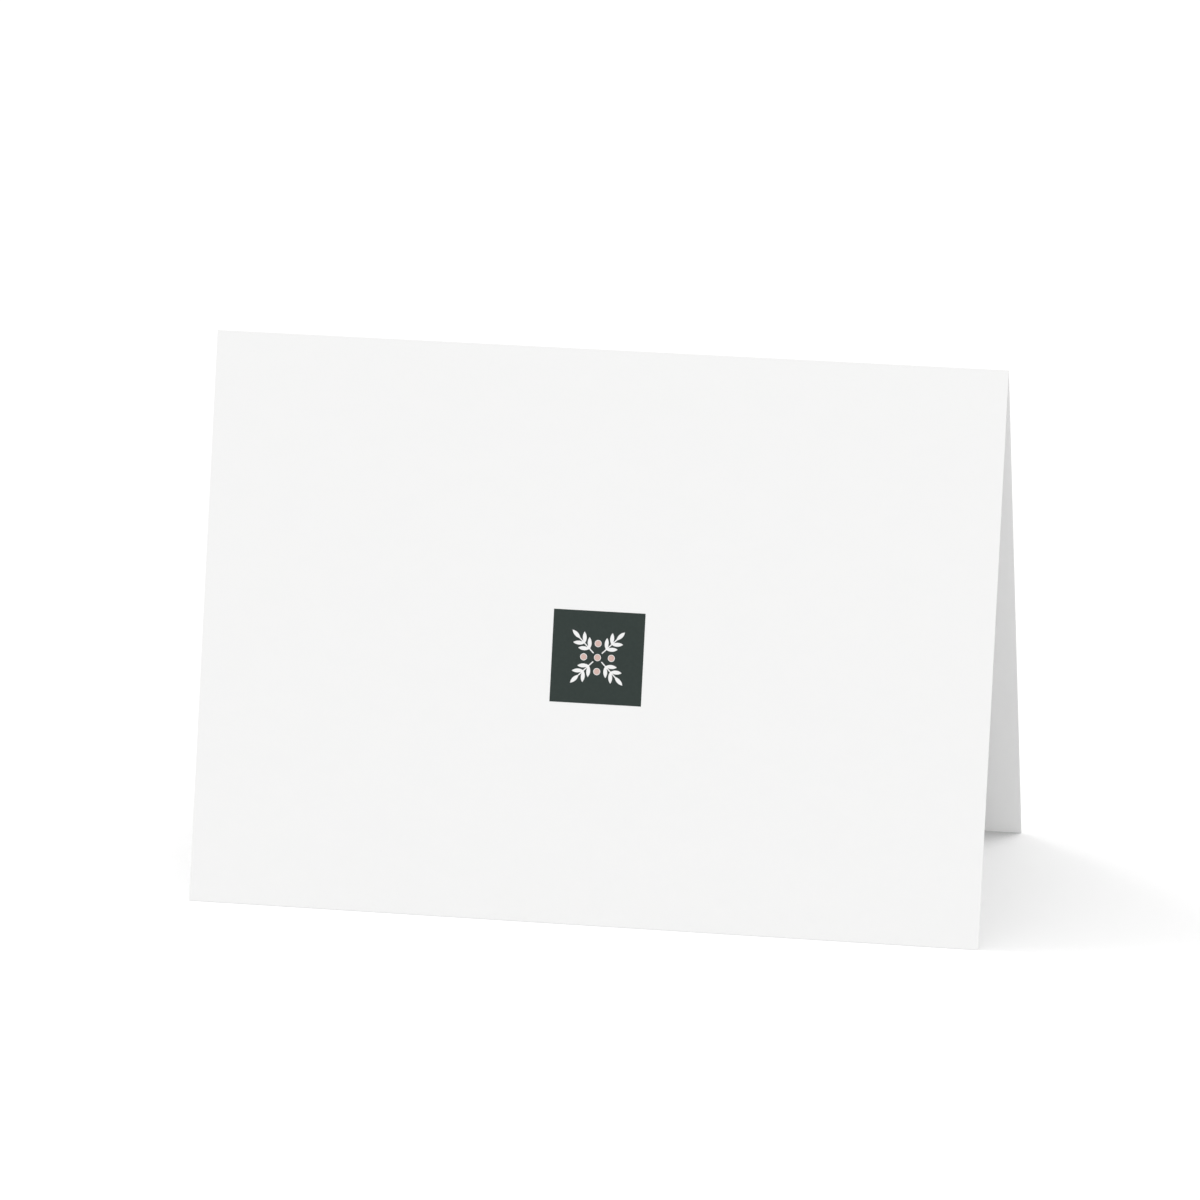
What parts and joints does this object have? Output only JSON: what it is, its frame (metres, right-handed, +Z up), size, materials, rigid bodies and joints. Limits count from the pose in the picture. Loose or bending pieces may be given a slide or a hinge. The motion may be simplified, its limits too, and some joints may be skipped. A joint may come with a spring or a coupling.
{
  "type": "greeting card",
  "caption": "Landscape greeting card of plain white stock, folded along the top and standing as a tent, with a small dark printed square on its back panel.",
  "frame": {"origin": "on the surface that the card stands on, under the middle of the fold", "axes": "+X along the fold, to the right of someone who faces the printed back panel; +Y from the printed back panel towards the plain front panel; +Z up"},
  "size_m": [0.177, 0.0758, 0.1214],
  "materials": {
    "card_stock": "smooth uncoated matte",
    "green_ink": "matte print",
    "pink_ink": "matte print"
  },
  "bodies": {
    "root": {"folded_card": "card_stock", "green_print": "green_ink", "pink_print": "pink_ink"}
  },
  "joints": []
}
